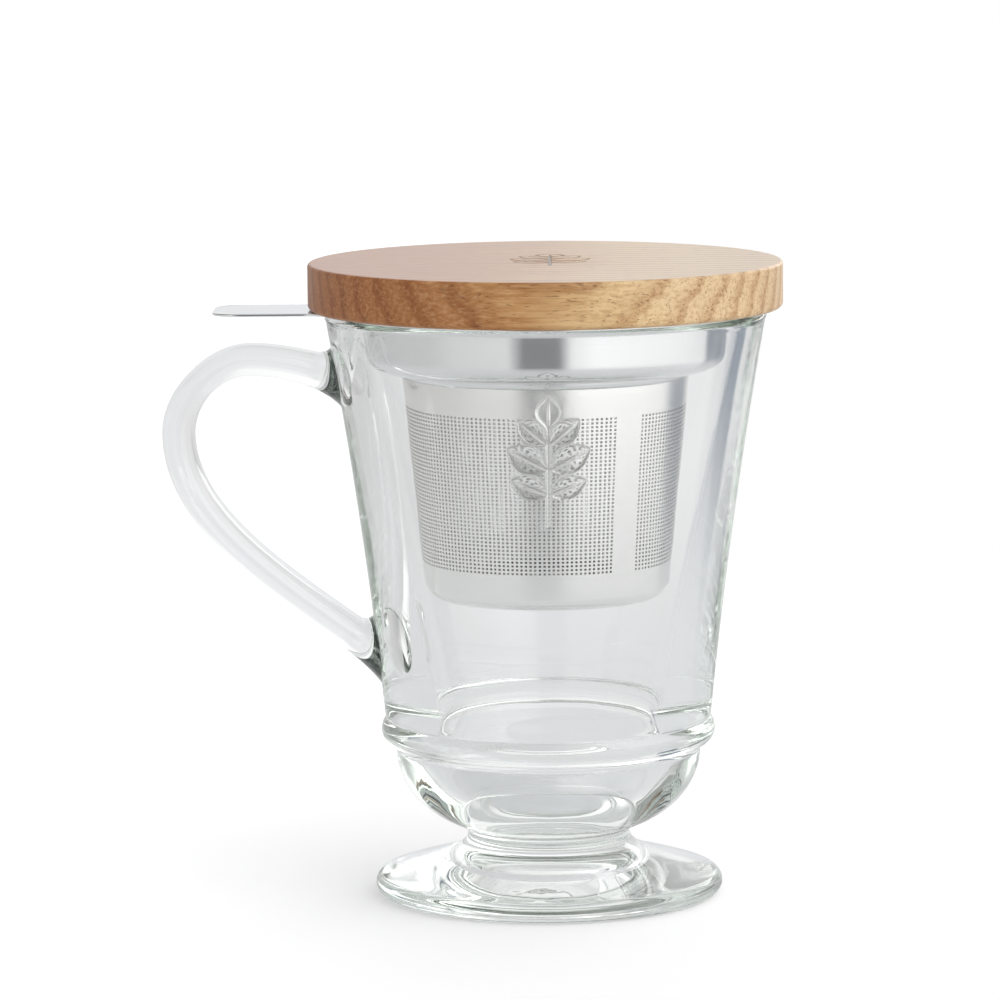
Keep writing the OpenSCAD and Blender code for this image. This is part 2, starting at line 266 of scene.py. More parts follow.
# the board's brown, with painted shade darkening its left end and painted light and sheen paling its right
# end
BOARD_WITH_PAINTED_LIGHT = [(0.05, (0.46, 0.180, 0.060)), (0.26, (0.48, 0.215, 0.080)), (0.46, (0.55, 0.300, 0.120)),
         (0.64, (0.71, 0.50, 0.26)), (0.80, (0.74, 0.55, 0.32)), (0.95, (0.68, 0.50, 0.30))]
LATE_WOOD, DARK_FIBRE, PALE_FIBRE = (0.58, 0.40, 0.28), (0.62, 0.46, 0.34), (0.78, 0.55, 0.32)
PORE_BROWN, MARK_BROWN = (0.16, 0.060, 0.022), (0.060, 0.028, 0.016)


def clear_glass():
    """Pressed glass, tinted through its thickness, with the faint waves of the mould."""
    m, t = material("clear_glass")
    waves = t.noise(t.stretched(40, 40, 14), 1.0, 2.0, 0.45)
    fine = t.noise(t.stretched(160, 160, 70), 1.0, 2.0, 0.5)
    normal = t.bump(fine, 0.05, 0.0004, t.bump(waves, 0.10, 0.002))
    body = t.node("ShaderNodeBsdfPrincipled", {
        "Base Color": (1.0, 1.0, 1.0, 1.0), "Roughness": 0.0, "IOR": GLASS_IOR,
        "Transmission Weight": 1.0, "Normal": normal})
    tint = t.node("ShaderNodeVolumeAbsorption", {"Color": GLASS_TINT, "Density": GLASS_DEPTH})
    t.node("ShaderNodeOutputMaterial", {"Surface": body.outputs[0], "Volume": tint.outputs[0]})
    return m


def steel(name, base, low, high, line_strength):
    """Sheet steel finished on a lathe: fine lines run round the axis, low to high is its roughness."""
    m, t = material(name)
    lines = t.noise(t.stretched(40, 40, 9000), 1.0, 2.0, 0.6)
    clouds = t.noise(t.stretched(60, 60, 60), 1.0, 3.0, 0.55)
    rough = t.node("ShaderNodeMapRange", {"Value": clouds, "From Min": 0.3, "From Max": 0.7,
                                          "To Min": low, "To Max": high})
    shade = t.mix(clouds, tuple(c * 0.95 for c in base), base)
    shade = t.mix(t.ramp(lines, [(0.35, 0.10), (0.60, 0.0)]), shade, tuple(c * 0.75 for c in base))
    tangent = t.node("ShaderNodeTangent", direction_type="RADIAL", axis="Z")
    body = t.node("ShaderNodeBsdfPrincipled", {
        "Base Color": shade, "Metallic": 1.0, "Roughness": rough.outputs[0], "Anisotropic": 0.45,
        "Tangent": tangent.outputs[0], "Normal": t.bump(lines, line_strength, 0.00001)})
    t.node("ShaderNodeOutputMaterial", {"Surface": body.outputs[0]})
    return m


def oiled_wood():
    """Board with its grain along X. Its rings are sheets that lean to the front as they go down."""
    m, t = material("oiled_wood")
    co = t.node("ShaderNodeTexCoord").outputs["Object"]
    x, y, z = t.node("ShaderNodeSeparateXYZ", {"Vector": co}).outputs
    sway = t.noise(t.stretched(9, 40, 40), 1.0, 3.0, 0.5)
    shiver = t.noise(t.stretched(130, 260, 260), 1.0, 2.0, 0.6)
    lean = t.math("ADD", t.math("MULTIPLY", x, RING_SKEW), t.math("MULTIPLY", z, RING_LEAN))
    depth = t.math("ADD", t.math("SUBTRACT", y, lean), t.math("MULTIPLY", sway, 0.008))
    depth = t.math("ADD", depth, t.math("MULTIPLY", shiver, 0.0022))
    ring = t.math("FRACT", t.math("ADD", t.math("MULTIPLY", depth, RINGS_PER_M), RING_START))
    late = t.ramp(ring, [(0.0, 0.75), (0.07, 0.10), (0.35, 0.0), (0.62, 0.35), (0.85, 1.0), (1.0, 0.75)])
    fibre = t.noise(t.stretched(60, 1500, 1500), 1.0, 4.0, 0.65)
    pores = t.noise(t.stretched(260, 2600, 2600), 1.0, 2.0, 0.5)
    # more pores lie in the late wood
    near_ring = t.math("SUBTRACT", pores, t.math("MULTIPLY", late, 0.05))
    pore = t.ramp(near_ring, [(0.30, 1.0), (0.37, 0.0)])
    patches = t.noise(t.stretched(16, 50, 50, (0.3, 0.1, 0.0)), 1.0, 2.0, 0.5)
    # painted light: along x the colour runs from painted shade at the left end to painted light and sheen
    # at the right end, broken by random patches
    across = t.math("ADD", t.math("MULTIPLY", x, 10.0), t.math("MULTIPLY", patches, 0.30))
    colour = t.ramp(t.math("ADD", across, 0.35), BOARD_WITH_PAINTED_LIGHT)
    dark = t.mix(1.0, colour, LATE_WOOD, "MULTIPLY")
    colour = t.mix(t.math("MULTIPLY", late, 0.55), colour, dark)
    dark = t.mix(1.0, colour, DARK_FIBRE, "MULTIPLY")
    colour = t.mix(t.ramp(fibre, [(0.36, 0.55), (0.54, 0.0)]), colour, dark)
    colour = t.mix(t.ramp(fibre, [(0.54, 0.0), (0.72, 0.35)]), colour, PALE_FIBRE)
    colour = t.mix(t.math("MULTIPLY", pore, 0.60), colour, PORE_BROWN)
    mark = t.node("ShaderNodeAttribute", attribute_name="mark").outputs["Fac"]
    colour = t.mix(t.math("MULTIPLY", mark, 0.85), colour, MARK_BROWN)
    height = t.math("SUBTRACT", t.math("MULTIPLY", fibre, 0.5), t.math("MULTIPLY", pore, 0.8))
    rough = t.node("ShaderNodeMapRange", {"Value": fibre, "From Min": 0.35, "From Max": 0.65,
                                          "To Min": 0.30, "To Max": 0.50})
    # the faces are sealed and the turned edge is left matt
    normal = t.node("ShaderNodeNewGeometry").outputs["Normal"]
    upright = t.node("ShaderNodeSeparateXYZ", {"Vector": normal}).outputs[2]
    coat = t.math("MULTIPLY", t.ramp(upright, [(0.80, 0.0), (0.98, 1.0)]), 0.7)
    body = t.node("ShaderNodeBsdfPrincipled", {
        "Base Color": colour, "Roughness": rough.outputs[0], "Specular IOR Level": 0.30,
        "Coat Weight": coat, "Coat Roughness": 0.30, "Normal": t.bump(height, 0.25, 0.00005)})
    t.node("ShaderNodeOutputMaterial", {"Surface": body.outputs[0]})
    return m


def silicone():
    """Milky ring, a little see-through."""
    m, t = material("silicone")
    speck = t.noise(t.stretched(500, 500, 500), 1.0, 3.0, 0.6)
    colour = t.ramp(speck, [(0.3, (0.80, 0.80, 0.78)), (0.7, (0.88, 0.88, 0.86))])
    rough = t.node("ShaderNodeMapRange", {"Value": speck, "To Min": 0.45, "To Max": 0.62})
    body = t.node("ShaderNodeBsdfPrincipled", {
        "Base Color": colour, "Roughness": rough.outputs[0], "Subsurface Weight": 0.3,
        "Subsurface Radius": (0.003, 0.003, 0.003), "Subsurface Scale": 0.5,
        "Normal": t.bump(speck, 0.1, 0.0001)})
    t.node("ShaderNodeOutputMaterial", {"Surface": body.outputs[0]})
    return m


GLASS = clear_glass()
COLLAR_STEEL = steel("pressed_steel", (0.83, 0.835, 0.84), 0.08, 0.12, 0.06)
MESH_STEEL = steel("etched_steel", (0.95, 0.945, 0.93), 0.20, 0.26, 0.03)
WOOD = oiled_wood()
SILICONE = silicone()


# ---- sprig: the ornament pressed in the glass and drawn on the lid --------------------------------

# leaves of the sprig: foot, tip and half-width
LEAVES = [((0.0, 7.2), (0.0, 14.0), 2.7), ((0.2, 3.8), (6.2, 9.0), 2.5), ((-0.2, 3.8), (-6.2, 9.0), 2.5),
          ((0.3, -1.4), (8.4, 3.0), 2.9), ((-0.3, -1.4), (-8.4, 3.0), 2.9),
          ((0.2, -6.6), (7.6, -3.6), 2.4), ((-0.2, -6.6), (-7.6, -3.6), 2.4)]
STEM_LOW, STEM_HIGH, STEM_HALF = -13.5, 8.0, 0.6
LINE_HALF, VEIN_HALF = 0.35, 0.25


def leaf_place(u, v, leaf):
    """Places in a leaf: share of its length, distance from its vein, and its half-width there."""
    foot, tip, width = np.array(leaf[0]), np.array(leaf[1]), leaf[2]
    length = np.linalg.norm(tip - foot)
    axis = (tip - foot) / length
    along = ((u - foot[0]) * axis[0] + (v - foot[1]) * axis[1]) / length
    across = (v - foot[1]) * axis[0] - (u - foot[0]) * axis[1]
    return along, across, width * np.sin(np.pi * np.clip(along, 0.0, 1.0)) ** 0.75 + 1e-6


def sprig(u, v):
    """Height, 0 to 1, of a stem with seven crowned leaves, about 19 by 28 mm."""
    h = np.zeros_like(u)
    for leaf in LEAVES:
        along, across, half = leaf_place(u, v, leaf)
        s = np.clip(1.0 - (across / half) ** 2, 0.0, 1.0)
        vein = 0.45 * np.exp(-(across / 0.24) ** 2) * np.clip(1.15 - along, 0, 1)
        h = np.where((along > 0) & (along < 1), np.maximum(h, s ** 0.6 * (1.0 - vein)), h)
    stem = np.clip(1.0 - (u / STEM_HALF) ** 2, 0.0, 1.0) ** 0.5
    return np.where((v > STEM_LOW) & (v < STEM_HIGH), np.maximum(h, 0.8 * stem), h)


def sprig_lines(u, v):
    """1 on the outline and veins of the same sprig, 0 elsewhere."""
    on = (np.abs(u) < LINE_HALF) & (v > STEM_LOW) & (v < STEM_HIGH)
    for leaf in LEAVES:
        along, across, half = leaf_place(u, v, leaf)
        edge = np.abs(np.abs(across) - half) < LINE_HALF
        vein = (np.abs(across) < VEIN_HALF) & (along < 0.7)
        on |= (along > 0.0) & (along < 1.0) & (edge | vein)
    return on.astype(float)


# ---- glass: sizes in millimetres, heights from the table -------------------------------------------

GLASS_H, RIM_R, RIM_T, LIP_ROUND = 124.2, 46.6, 4.9, 1.7
WAIST_R, WALL_BOW = 34.3, 0.9
BEAD_Z, BEAD_R, BEAD_ROUND, BEAD_HALF_H = 35.4, 35.4, 2.8, 3.2
# the bowl's outline is an arc of an ellipse, whose centre lies off the axis and at the bowl's top
BOWL_CENTRE_R, BOWL_R, BOWL_TOP, BOWL_DEPTH = 10.0, 32.3, 31.0, 17.7
STEM_R, STEM_Z = 17.15, 12.8
FOOT_ARC_R, FOOT_ROUND = 34.6, 2.3
# underneath: a dome, then a slight cone down to the ring that the mug stands on
HOLLOW_R, HOLLOW_H, DOME_H, REST_R = 19.0, 1.2, 2.6, 31.2
# inside of the cup: where its cone ends, and the floor inside the round bottom
CUP_LOW_R, BOTTOM_TOP, FLOOR_R, FLOOR_EDGE, FLOOR_DISH = 23.85, 38.2, 10.0, 23.0, 0.4

# grid of the wall in heights and degrees. It is fine round the sprig and has an opening for each root
# of the handle.
FRONT, LEFT = math.radians(270), 180.0
ROOT_SPANS = {"upper": (101.9, 119.1), "lower": (43.0, 61.4)}
ROOT_GRID_HALF, ROOT_OPEN_HALF = 16.5, 15.0
SPRIG_SPAN, SPRIG_COLUMNS = (82.0, 111.5), (255.5, 286.0)
SPRIG_TURN, SPRIG_Z, SPRIG_HALF_W, SPRIG_HALF_H = math.radians(0.6), 97.0, 14, 16

# handle: where its centre line enters the wall and how deep, its shoulder and its outermost place
HANDLE_TOP_Z, HANDLE_LOW_Z, HANDLE_SINK = 109.2, 52.0, 3.4
SHOULDER_OUT, SHOULDER_Z = 16.0, 114.2
REACH_OUT, REACH_Z = 31.0, 98.7
HANDLE_HALF_W, HANDLE_SQUARE, HANDLE_RINGS = 6.0, 0.85, 108
# its thickness at shares of its length, between the two roots
THICK_AT, THICK = [0, 0.06, 0.14, 0.26, 0.36, 1.0], [7.3, 7.0, 6.9, 6.4, 7.0, 7.1]
# roots on the wall: height of the centre, half-height and half-width, and how far out they flare
ROOTS = {"upper": (110.4, 6.6, 8.6), "lower": (52.3, 7.6, 8.2)}
ROOT_LENGTH, ROOT_LIFT, WALL_STEPS, FLARE_STEPS = 5.0, 3.0, 4, 14


def outer_r(z):
    u = (z - BEAD_Z) / (GLASS_H - BEAD_Z)
    return WAIST_R + (RIM_R - WAIST_R) * u - 4 * WALL_BOW * u * (1 - u)


def inner_r(z):
    """The inside is a straight cone above its round bottom."""
    return CUP_LOW_R + (RIM_R - RIM_T - CUP_LOW_R) * (z - BOTTOM_TOP) / (GLASS_H - BOTTOM_TOP)


def glass_outline():
    """The glass's line from the hollow under its foot, over the lip, to the middle of the cup's floor.

    Returns the line, the number of the wall's first point, and the heights of the wall's points."""
    dome = [(HOLLOW_R * math.sin(a), HOLLOW_H + DOME_H * math.cos(a))
            for a in np.linspace(0, math.pi / 2, 12)]
    under = [(r, HOLLOW_H * (REST_R - r) / (REST_R - HOLLOW_R))
             for r in np.linspace(HOLLOW_R, REST_R, 6)[1:]]
    edge = arc((FOOT_ARC_R, FOOT_ROUND), FOOT_ROUND, FOOT_ROUND, -90, 62, 14)
    start = edge[-1]
    top = cubic(start, (start[0] - 9, start[1] + 3), (STEM_R + 0.7, STEM_Z - 4.3), (STEM_R, STEM_Z), 26, 1)
    low_turn = math.degrees(math.acos((STEM_R - BOWL_CENTRE_R) / (BOWL_R - BOWL_CENTRE_R)))
    bowl = arc((BOWL_CENTRE_R, BOWL_TOP), BOWL_R - BOWL_CENTRE_R, BOWL_DEPTH, -low_turn, 0, 26)
    bead = arc((BEAD_R - BEAD_ROUND, BEAD_Z), BEAD_ROUND, BEAD_HALF_H, -80, 48, 16)
    (upper_low, upper_high), (lower_low, lower_high) = ROOT_SPANS["upper"], ROOT_SPANS["lower"]
    sprig_low, sprig_high = SPRIG_SPAN
    lip_z = GLASS_H - LIP_ROUND
    spans = [(BEAD_Z + BEAD_HALF_H + 0.6, lower_low, 5), (lower_low, lower_high, 61),
             (lower_high, sprig_low, 13), (sprig_low, upper_low, 101), (upper_low, sprig_high, 49),
             (sprig_high, upper_high, 13)]
    wall_z = np.concatenate([np.linspace(*s)[:-1] for s in spans] + [np.linspace(upper_high, lip_z, 5)])
    wall = [(float(outer_r(z)), float(z)) for z in wall_z]
    lip_out = arc((RIM_R - LIP_ROUND, lip_z), LIP_ROUND, LIP_ROUND, 15, 90, 9)
    cone = math.atan((inner_r(GLASS_H) - CUP_LOW_R) / (GLASS_H - BOTTOM_TOP))
    lip_in_r = inner_r(lip_z) + LIP_ROUND / math.cos(cone)
    lip_in = arc((lip_in_r, lip_z), LIP_ROUND, LIP_ROUND, 90, 180 - math.degrees(cone), 9)
    inside = [(inner_r(z), float(z)) for z in np.linspace(GLASS_H - 3.0, BOTTOM_TOP, 44)]
    corner = arc((FLOOR_R, BOTTOM_TOP), CUP_LOW_R - FLOOR_R, BOTTOM_TOP - FLOOR_EDGE, 0, -90, 40)[1:]
    floor = [(FLOOR_R * u, FLOOR_EDGE - FLOOR_DISH * (1 - u * u)) for u in np.linspace(1, 0, 17)[1:]]
    lower = rounded(dome + under + edge + top + bowl + bead + wall[:3], 0.8)
    # the corner rounding leaves the wall's own rows alone
    lower = lower[:-2]
    return lower + wall[1:] + lip_out + lip_in + inside + corner + floor, len(lower) - 1, wall_z


def sprig_relief(line, first, count):
    """What raises the sprig on the wall's rows of points, count of them from the one numbered first."""
    def shape(j, pts):
        if not first < j < first + count:
            return pts
        z = line[j][1]
        a = np.arctan2(pts[:, 1], pts[:, 0])
        away = (a - FRONT + math.pi) % (2 * math.pi) - math.pi
        u, v = (away - SPRIG_TURN) * outer_r(z), z - SPRIG_Z
        near = np.abs(u) < SPRIG_HALF_W
        if abs(v) > SPRIG_HALF_H or not near.any():
            return pts
        h = np.zeros(len(pts))
        h[near] = sprig(u[near], np.full(near.sum(), v))
        pts = pts.copy()
        pts[:, 0] += h * np.cos(a)
        pts[:, 1] += h * np.sin(a)
        return pts

    return shape


def handle_path():
    """The handle's centre line in the XZ plane, from its upper root to its lower one."""
    slope, lead = math.radians(37), math.radians(20)
    upper = (-(outer_r(HANDLE_TOP_Z) - HANDLE_SINK), HANDLE_TOP_Z)
    shoulder = (-(RIM_R + SHOULDER_OUT), SHOULDER_Z)
    outermost = (-(RIM_R + REACH_OUT), REACH_Z)
    lower = (-(outer_r(HANDLE_LOW_Z) - HANDLE_SINK), HANDLE_LOW_Z - HANDLE_SINK * math.tan(slope))
    pts = cubic(upper, (upper[0] - 8 * math.cos(lead), upper[1] + 8 * math.sin(lead)),
                (shoulder[0] + 8, shoulder[1]), shoulder, 120)
    pts += cubic(shoulder, (shoulder[0] - 7, shoulder[1]), (outermost[0], outermost[1] + 8),
                 outermost, 120, 1)
    pts += cubic(outermost, (outermost[0], outermost[1] - 20),
                 (lower[0] - 25 * math.cos(slope), lower[1] + 25 * math.sin(slope)), lower, 240, 1)
    return np.array(pts)


def handle_rings(angle_up, angle_low):
    """Rings round the free part of the handle, and the centre line's direction at each of them.

    angle_up and angle_low are the turns of a ring's points at the two roots."""
    path = handle_path()
    clear = -path[:, 0] - outer_r(path[:, 1])
    out = np.nonzero(clear > ROOT_LENGTH)[0]
    path = path[out[0]:out[-1] + 1]
    run = np.concatenate([[0], np.cumsum(np.linalg.norm(np.diff(path, axis=0), axis=1))])
    at = np.linspace(0, run[-1], HANDLE_RINGS)
    path = np.stack([np.interp(at, run, path[:, 0]), np.interp(at, run, path[:, 1])], 1)
    share = at / run[-1]
    thick = np.interp(share, THICK_AT, THICK)
    d = np.gradient(path, axis=0)
    d /= np.linalg.norm(d, axis=1)[:, None]
    side = np.stack([-d[:, 1], d[:, 0]], 1)

    def squared(v):
        return np.sign(v) * np.abs(v) ** HANDLE_SQUARE

    rings = []
    for i in range(len(path)):
        a = angle_up + (angle_low - angle_up) * share[i]
        across = thick[i] / 2 * squared(np.cos(a))
        y = HANDLE_HALF_W * squared(np.sin(a))
        x, z = path[i, 0] + side[i, 0] * across, path[i, 1] + side[i, 1] * across
        rings.append(np.stack([x, y, z], 1))
    return rings, d


def root_places(name, p):
    """For the points p of an opening: their turn round the root, and their y and z on the root's edge."""
    centre, half_h, half_w = ROOTS[name]
    zc = 0.5 * (p[:, 2].max() + p[:, 2].min())
    hh, hw = 0.5 * (p[:, 2].max() - p[:, 2].min()), np.abs(p[:, 1]).max()
    sign = 1.0 if name == "lower" else -1.0
    a = np.unwrap(np.arctan2(p[:, 1] / hw, sign * (p[:, 2] - zc) / hh))
    a -= round(a[0] / (2 * math.pi)) * 2 * math.pi
    return a, half_w * np.sin(a), centre + sign * half_h * np.cos(a)


def wall_point(y, z):
    return np.stack([-np.sqrt(outer_r(z) ** 2 - y * y), y, z], 1)


def handle_root(mesh, ids, p, ey, ez, centre, finish, finish_ids, outward):
    """Runs the wall in from an opening to the root's edge, and lofts a flare from there to the handle.

    ids and p are the opening's points, ey and ez the root's edge, and finish the handle's end ring."""
    previous = ids
    for k in range(1, WALL_STEPS + 1):
        s = k / WALL_STEPS
        start = wall_point(p[:, 1] * (1 - s) + ey * s, p[:, 2] * (1 - s) + ez * s)
        now = mesh.add(start)
        mesh.strip(previous, now)
        previous = now
    inwards = np.stack([-ey, centre - ez], 1)
    inwards /= np.linalg.norm(inwards, axis=1)[:, None]
    ahead = wall_point(ey + 0.05 * inwards[:, 0], ez + 0.05 * inwards[:, 1]) - start
    ahead /= np.linalg.norm(ahead, axis=1)[:, None]
    chord = np.linalg.norm(finish - start, axis=1)
    m0 = ahead * np.minimum(ROOT_LIFT, 0.9 * chord)[:, None]
    m1 = np.array([outward[0], 0.0, outward[1]]) * (1.1 * chord)[:, None]
    for k in range(1, FLARE_STEPS):
        s = k / FLARE_STEPS
        h00, h10 = 2 * s ** 3 - 3 * s ** 2 + 1, s ** 3 - 2 * s ** 2 + s
        h01, h11 = -2 * s ** 3 + 3 * s ** 2, s ** 3 - s ** 2
        now = mesh.add(h00 * start + h10 * m0 + h01 * finish + h11 * m1)
        mesh.strip(previous, now)
        previous = now
    mesh.strip(previous, finish_ids)


def glass_piece():
    """Cup, bowl, stem and foot as one turned surface, with the handle joined to it at two openings."""
    line, first, wall_z = glass_outline()
    sprig_low, sprig_high = SPRIG_COLUMNS
    root_low, root_high = LEFT - ROOT_GRID_HALF, LEFT + ROOT_GRID_HALF
    columns = [(sprig_high - 360.0, root_low, 120), (root_low, root_high, 23),
               (root_high, sprig_low, 28), (sprig_low, sprig_high, 150)]
    deg = np.concatenate([np.linspace(*c)[:-1] for c in columns])
    open_columns = [i for i, a in enumerate(deg) if abs(a - LEFT) < ROOT_OPEN_HALF + 0.01]
    c0, c1 = open_columns[0], open_columns[-1]
    middle = (c0 + c1) // 2
    wall_row = {round(float(z), 3): first + j for j, z in enumerate(wall_z)}
    spans = {name: (wall_row[low], wall_row[high]) for name, (low, high) in ROOT_SPANS.items()}
    skip = {(j, i) for a, b in spans.values() for j in range(a, b) for i in range(c0, c1)}
    mesh = Mesh()
    rows = mesh.revolve(line, np.radians(deg), sprig_relief(line, first, len(wall_z)), skip)
    points = np.concatenate(mesh.points)

    def loop(name):
        """Point numbers round the opening, from its outer middle, first towards +Y."""
        a, b = spans[name]
        up, down = (b, a) if name == "lower" else (a, b)
        step = 1 if up > down else -1
        ring = [(up, i) for i in range(middle, c0, -1)]
        ring += [(j, c0) for j in range(up, down, -step)]
        ring += [(down, i) for i in range(c0, c1)]
        ring += [(j, c1) for j in range(down, up, step)]
        ring += [(up, i) for i in range(c1, middle, -1)]
        return np.array([rows[j][i] for j, i in ring])

    loops = {name: loop(name) for name in ROOTS}
    places = {name: root_places(name, points[ids]) for name, ids in loops.items()}
    rings, d = handle_rings(places["upper"][0], places["lower"][0])
    ring_ids = [mesh.add(r) for r in rings]
    for a, b in zip(ring_ids[:-1], ring_ids[1:]):
        mesh.strip(a, b)
    for name, end, outward in (("upper", 0, d[0]), ("lower", -1, -d[-1])):
        ids, (_, ey, ez) = loops[name], places[name]
        handle_root(mesh, ids, points[ids], ey, ez, ROOTS[name][0], rings[end], ring_ids[end], outward)
    return mesh.build("mug_glass", GLASS, "mug", "glass_mug")


# ---- infuser ------------------------------------------------------------------------------------

# collar: its sheet, how far in from the rim its flange ends, its gap to the glass and its draft
COLLAR_T, FLANGE_IN, COLLAR_GAP, COLLAR_DRAFT = 0.6, 0.4, 2.6, 0.7
FLANGE_ROUND, SHELF_ROUND, NECK_ROUND = 0.9, 4.3, 0.35
SHELF_Z, NECK_LOW = 112.6, 111.0
# tab on the flange: half-width, end, corner radius, and the flare of its root with its place and length
TAB_HALF_W, TAB_END, TAB_CORNER, TAB_FLARE = 10.0, 69.6, 5.0, 3.0
TAB_FLARE_X, TAB_FLARE_LEN = 44.0, 6.5
# basket: its sheet, radius at the top of its taper and the taper, then the heights of the basket's
# lowest place, the taper's top and the wall's two ends
BASKET_T, BASKET_R, TAPER = 0.4, 30.4, math.radians(5.42)
BASKET_LOW, TAPER_TOP, WALL_LOW, WALL_TOP = 64.2, 110.6, 66.92, 112.3
# etched band of the wall: its ends, its holes and pitches up and round, and the plain strips in it
BAND_LOW, BAND_TOP, MID_Z = 72.0, 105.0, 88.5
PITCH_UP, HOLE_UP, PITCH_ROUND, HOLE_ROUND = 0.80, 0.44, 0.95, 0.47
STRIPS, STRIP_W, STRIP_COLUMNS = (64.0, 184.0, 304.0), 5.4, 3
# pan: its corner, its top and a place on its taper, then its etched field: how far in its rim is,
# the plain edge inside the rim, and its holes
PAN_ROUND, PAN_TOP, PAN_MID = 3.0, 69.9, 68.4
FIELD_IN, FIELD_EDGE, PAN_PITCH, PAN_HOLE = 1.2, 1.0, 1.25, 0.6


def basket_r(z):
    return BASKET_R - max(0.0, TAPER_TOP - z) * math.tan(TAPER)


def thickened(outside, t):
    """The same line, a sheet's thickness further in."""
    p = [np.array(q) for q in outside]
    inside = []
    for i, q in enumerate(p):
        a = p[i] - p[i - 1] if i else p[1] - p[0]
        b = p[i + 1] - p[i] if i < len(p) - 1 else a
        a, b = a / np.linalg.norm(a), b / np.linalg.norm(b)
        n = np.array([a[1] + b[1], -a[0] - b[0]])
        n /= np.linalg.norm(n)
        inside.append(tuple(q + n * t / max(0.5, np.dot(n, [a[1], -a[0]]))))
    return inside


def flange_reach(angles, flange_r):
    """Radius of the flange's edge at each angle, with the tab on the handle's side."""
    reach = np.full(len(angles), flange_r)
    for i, a in enumerate(angles):
        c, s = -math.cos(a), abs(math.sin(a))
        if c <= 0.9:
            continue
        best = flange_r
        for r in np.arange(flange_r, 76.0, 0.02):
            x, y = r * c, r * s
            along = min(1.0, max(0.0, (x - TAB_FLARE_X) / TAB_FLARE_LEN))
            if x > TAB_END or y > TAB_HALF_W + TAB_FLARE * (1.0 - along) ** 2:
                break
            in_corner = x > TAB_END - TAB_CORNER and y > TAB_HALF_W - TAB_CORNER
            if in_corner and math.hypot(x - TAB_END + TAB_CORNER, y - TAB_HALF_W + TAB_CORNER) > TAB_CORNER:
                break
            best = r
        reach[i] = best
    return reach


def collar_piece():
    """Flange, tab, drawn collar, shelf and neck as one sheet."""
    t = COLLAR_T
    flange_r = RIM_R - FLANGE_IN
    collar = inner_r(GLASS_H) - COLLAR_GAP
    low = collar - COLLAR_DRAFT
    neck = BASKET_R + t
    outside = arc((collar + FLANGE_ROUND, GLASS_H - FLANGE_ROUND), FLANGE_ROUND, FLANGE_ROUND, 90, 180, 8)
    outside += arc((low - SHELF_ROUND, SHELF_Z + SHELF_ROUND), SHELF_ROUND, SHELF_ROUND, 0, -90, 14)
    outside += arc((neck + NECK_ROUND, SHELF_Z - NECK_ROUND), NECK_ROUND, NECK_ROUND, 90, 180, 5)
    outside.append((neck, NECK_LOW))
    inside = thickened(outside, t)
    span = flange_r - collar - FLANGE_ROUND
    flat = [(collar + FLANGE_ROUND + span * u, GLASS_H) for u in np.linspace(1, 0, 7)]
    top = [(r, GLASS_H + t) for r, z in flat[:-1]][::-1]
    loop = flat[:-1] + outside + inside[::-1] + top
    edge = arc((flange_r, GLASS_H + t / 2), t / 2, t / 2, 60, -60, 4)
    deg = np.concatenate([np.linspace(-160, 160, 161)[:-1], np.linspace(160, 200, 161)[:-1]])
    angles = np.radians(deg)
    reach = flange_reach(angles, flange_r)
    mesh = Mesh()
    cos, sin = np.cos(angles), np.sin(angles)

    def row(r, z, share):
        rr = r + (reach - flange_r) * share
        return mesh.add(np.stack([rr * cos, rr * sin, np.full_like(cos, z)], 1))

    ids = []
    for r, z in loop:
        on_flange = z in (GLASS_H, GLASS_H + t)
        share = ease((r - collar - FLANGE_ROUND) / span) if on_flange else 0.0
        ids.append(row(r, z, float(share)))
    for r, z in edge:
        ids.append(row(r, z, 1.0))
    for a, b in zip(ids, ids[1:] + ids[:1]):
        mesh.strip(a, b)
    return mesh.build("infuser_collar_skin", COLLAR_STEEL, "infuser", "infuser_collar")


def hole_lines(start, stop, pitch, hole):
    """Lines of a lattice from start to stop: plain, hole, plain, hole ... and which gaps are holes."""
    n = max(1, int(round((stop - start) / pitch)))
    step = (stop - start) / n
    lines, holes = [start], []
    for i in range(n):
        mid = start + (i + 0.5) * step
        lines += [mid - hole / 2, mid + hole / 2]
        holes += [False, True]
    lines.append(stop)
    holes.append(False)
    return lines, holes


def hole_walls(mesh, ring_o, ring_i):
    """Four faces through the sheet, between a hole's corners on its two sides."""
    for s in range(4):
        e = (s + 1) % 4
        mesh.faces.append((ring_o[s], ring_o[e], ring_i[e], ring_i[s]))


def sheet_lattice(mesh, outer, inner, rows, cols):
    """Two lattices of points with the same holes through both, and the holes' walls."""
    out_ids = [mesh.add(o) for o in outer]
    in_ids = [mesh.add(o) for o in inner]
    cells = [(j, i, (i + 1) % len(cols)) for j in range(len(outer) - 1) for i in range(len(cols))]
    for j, i, k in cells:
        if not (rows[j] and cols[i]):
            mesh.faces.append((out_ids[j][i], out_ids[j][k], out_ids[j + 1][k], out_ids[j + 1][i]))
            mesh.faces.append((in_ids[j][i], in_ids[j + 1][i], in_ids[j + 1][k], in_ids[j][k]))
    for j, i, k in cells:
        if rows[j] and cols[i]:
            hole_walls(mesh, (out_ids[j][i], out_ids[j][k], out_ids[j + 1][k], out_ids[j + 1][i]),
                       (in_ids[j][i], in_ids[j][k], in_ids[j + 1][k], in_ids[j + 1][i]))
    return out_ids, in_ids


